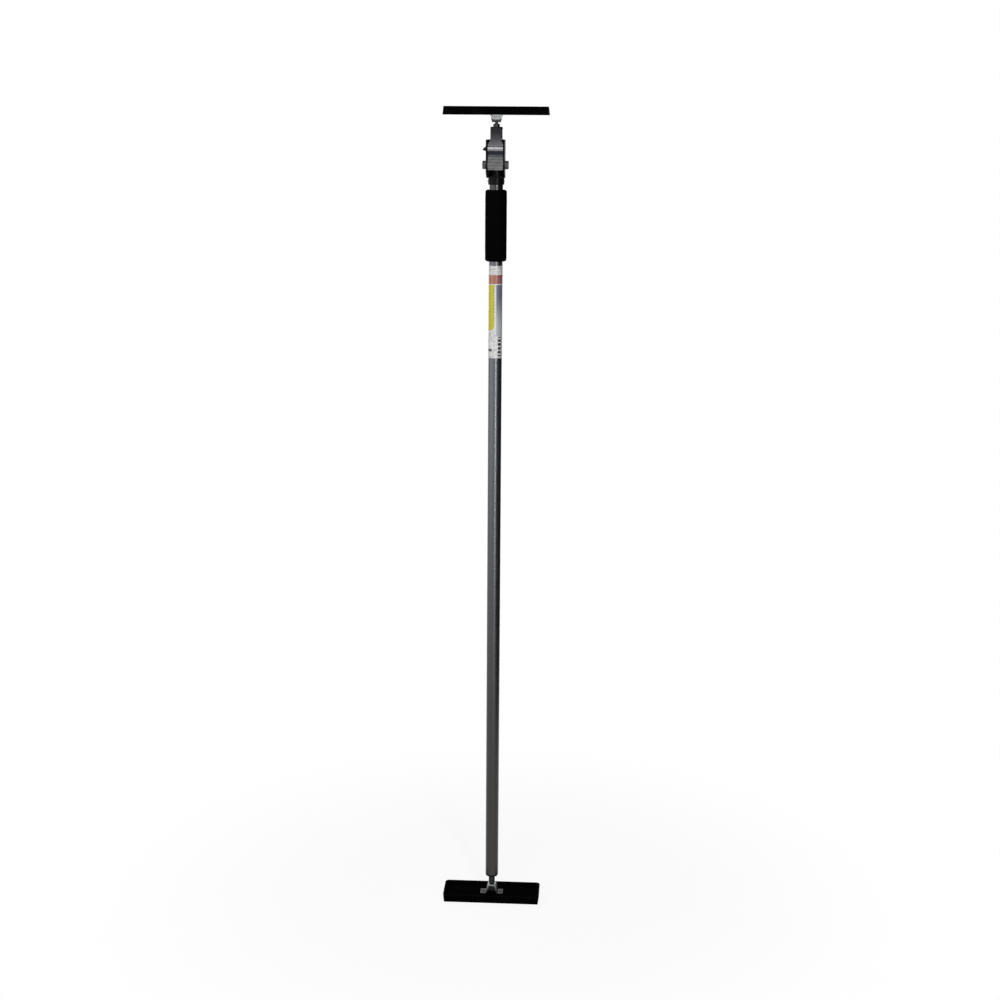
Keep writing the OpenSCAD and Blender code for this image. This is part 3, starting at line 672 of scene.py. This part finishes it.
def spring_piece(node, material, turns):
    """A compression spring in the CAD spring's box, with closed ends."""
    low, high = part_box(node)
    wire_radius = SPRING_WIRE / 2
    coil_radius = (high.x - low.x - SPRING_WIRE) / 2
    rise = high.z - low.z - SPRING_WIRE
    steps = int(turns * STEPS_PER_TURN)
    points = []
    for i in range(steps + 1):
        t = i / steps
        turn = math.tau * turns * t
        z = low.z + wire_radius + rise * held((t - CLOSED_SHARE) / (1 - 2 * CLOSED_SHARE))
        for j in range(WIRE_SIDES):
            a = math.tau * j / WIRE_SIDES
            r = coil_radius + wire_radius * math.cos(a)
            points.append((r * math.cos(turn), r * math.sin(turn), z + wire_radius * math.sin(a)))
    faces = rings_to_faces(steps + 1, WIRE_SIDES, closed=False)
    return mesh_piece(node + "_coil", points, faces, material, node)


def foam_profile(low, high, hole):
    """Radius and height along the grip: soft round ends and a slight barrel between them."""
    end_face = high.x - FOAM_EDGE - FOAM_FLAT
    length = high.z - low.z
    profile = [(hole, low.z), (end_face, low.z)]
    for i in range(FOAM_ROWS + 1):
        t = i / FOAM_ROWS
        z = low.z + length * (0.5 - 0.5 * math.cos(math.pi * t))
        from_end = min(z - low.z, high.z - z)
        inset = max(FOAM_EDGE - from_end, 0)
        drop = FOAM_EDGE - math.sqrt(max(FOAM_EDGE ** 2 - inset ** 2, 0))
        barrel = FOAM_SWELL * (1 - math.sin(math.pi * t) ** 0.5)
        profile.append((high.x - drop - barrel, z))
    profile.append((end_face, high.z))
    profile.append((hole, high.z))
    return profile


def foam_piece(material):
    """The foam grip, a little barrel-shaped, with soft ends and the waves of a stretched-on sleeve."""
    low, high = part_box("foam_grip")
    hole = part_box("outer_tube")[1].x + FOAM_CLEARANCE
    profile = foam_profile(low, high, hole)
    points = []
    for r, z in profile:
        share = held((r - hole) / (high.x - hole))
        for j in range(FOAM_SIDES):
            a = math.tau * j / FOAM_SIDES
            spot = Vector((math.cos(a) * r, math.sin(a) * r, z))
            wave = sum(noise.noise(spot * scale) * rise for scale, rise in FOAM_WAVES)
            waved = min(r + wave * share, high.x)
            points.append((math.cos(a) * waved, math.sin(a) * waved, z))
    faces = rings_to_faces(len(profile), FOAM_SIDES, closed=True)
    piece = mesh_piece("foam_grip_shape", points, faces, material, "foam_grip")


def squash_up(piece):
    """Gives the coil a mesh of its own."""
    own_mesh(piece)


def make_springs(material):
    """The two coils that the moving plates shorten."""
    drive_coil = spring_piece("drive_spring", material, DRIVE_TURNS)
    lock_coil = spring_piece("lock_spring", material, LOCK_TURNS)
    squash_up(drive_coil)
    squash_up(lock_coil)


def make_swivels(black_nylon, bright_zinc, white_nylon):
    """Pad, plate, strap, rivets, seat, liner, stud and plug at both ends of the pole."""
    black_rubber = rubber()
    plate_black = nylon("backing_black", (0.001, 0.001, 0.0011), (0.003, 0.003, 0.0031), 0.0)
    grey_nylon = seat_nylon()
    stud_steel = steel("stud_steel", (0.014, 0.014, 0.015), (0.030, 0.030, 0.031), (0.35, 0.5), 0.6)
    for end in ("foot", "top"):
        dress(end + "_pad", black_rubber, 0.8 * MM)
        dress(end + "_plate", plate_black, 0.3 * MM, 2)
        dress(end + "_bracket", bright_zinc, 0.4 * MM)
        dress(end + "_rivets", bright_zinc)
        dress(end + "_seat", grey_nylon, 0.2 * MM, 2)
        paint(end + "_liner", white_nylon)
        paint(end + "_stud", stud_steel)
        dress(end + "_plug", black_nylon, 0.4 * MM)


def make_pole(black_nylon):
    """The tubes, the label and the grip."""
    paint("stop_plug", black_nylon)
    paint("outer_tube", tube_paint())
    paint("inner_tube", inner_tube_steel())
    paint("label_sleeve", label_film())
    foam_piece(foam())


def make_head(black_nylon, bright_zinc, white_nylon):
    """The housing of the pump with its bolt, lever, plates and springs."""
    gloss_black = housing_paint()
    bolt_zinc = zinc("bolt_steel", (0.032, 0.033, 0.036), (0.075, 0.077, 0.082), (0.32, 0.45))
    plate_steel = steel("plate_steel", (0.26, 0.25, 0.24), (0.42, 0.41, 0.39), (0.28, 0.42))
    spring_steel = steel("spring_steel", (0.36, 0.36, 0.38), (0.55, 0.55, 0.57), (0.22, 0.34))
    dress("head_collar", gloss_black, 0.5 * MM)
    paint("collar_pins", bright_zinc)
    dress("head_housing", gloss_black, 0.45 * MM)
    dress("spring_shelf", plate_steel, 0.2 * MM, 2)
    paint("guide_bush", white_nylon)
    dress("pivot_bolt", bolt_zinc, 0.35 * MM)
    dress("pivot_nut", bolt_zinc, 0.35 * MM)
    dress("pivot_washers", bolt_zinc, 0.2 * MM, 2)
    dress("lever_spring", spring_steel)
    dress("pump_lever", lever_paint(), 0.6 * MM)
    paint("pivot_bushes", white_nylon)
    paint("roller_pin", bright_zinc)
    dress("lever_roller", plate_steel, 0.3 * MM, 2)
    dress("drive_plates", plate_steel, 0.25 * MM, 2)
    dress("lock_plate", plate_steel, 0.25 * MM, 2)
    dress("release_tab", black_nylon, 0.7 * MM)
    make_springs(spring_steel)


def make_pieces():
    black_nylon = nylon("black_nylon", (0.004, 0.004, 0.0043), (0.009, 0.009, 0.0095), 0.15)
    white_nylon = nylon("white_nylon", (0.70, 0.69, 0.66), (0.80, 0.79, 0.76))
    bright_zinc = zinc("zinc", (0.46, 0.47, 0.48), (0.68, 0.69, 0.70), (0.3, 0.42))
    make_swivels(black_nylon, bright_zinc, white_nylon)
    make_pole(black_nylon)
    make_head(black_nylon, bright_zinc, white_nylon)


make_camera()
make_studio()
make_pieces()
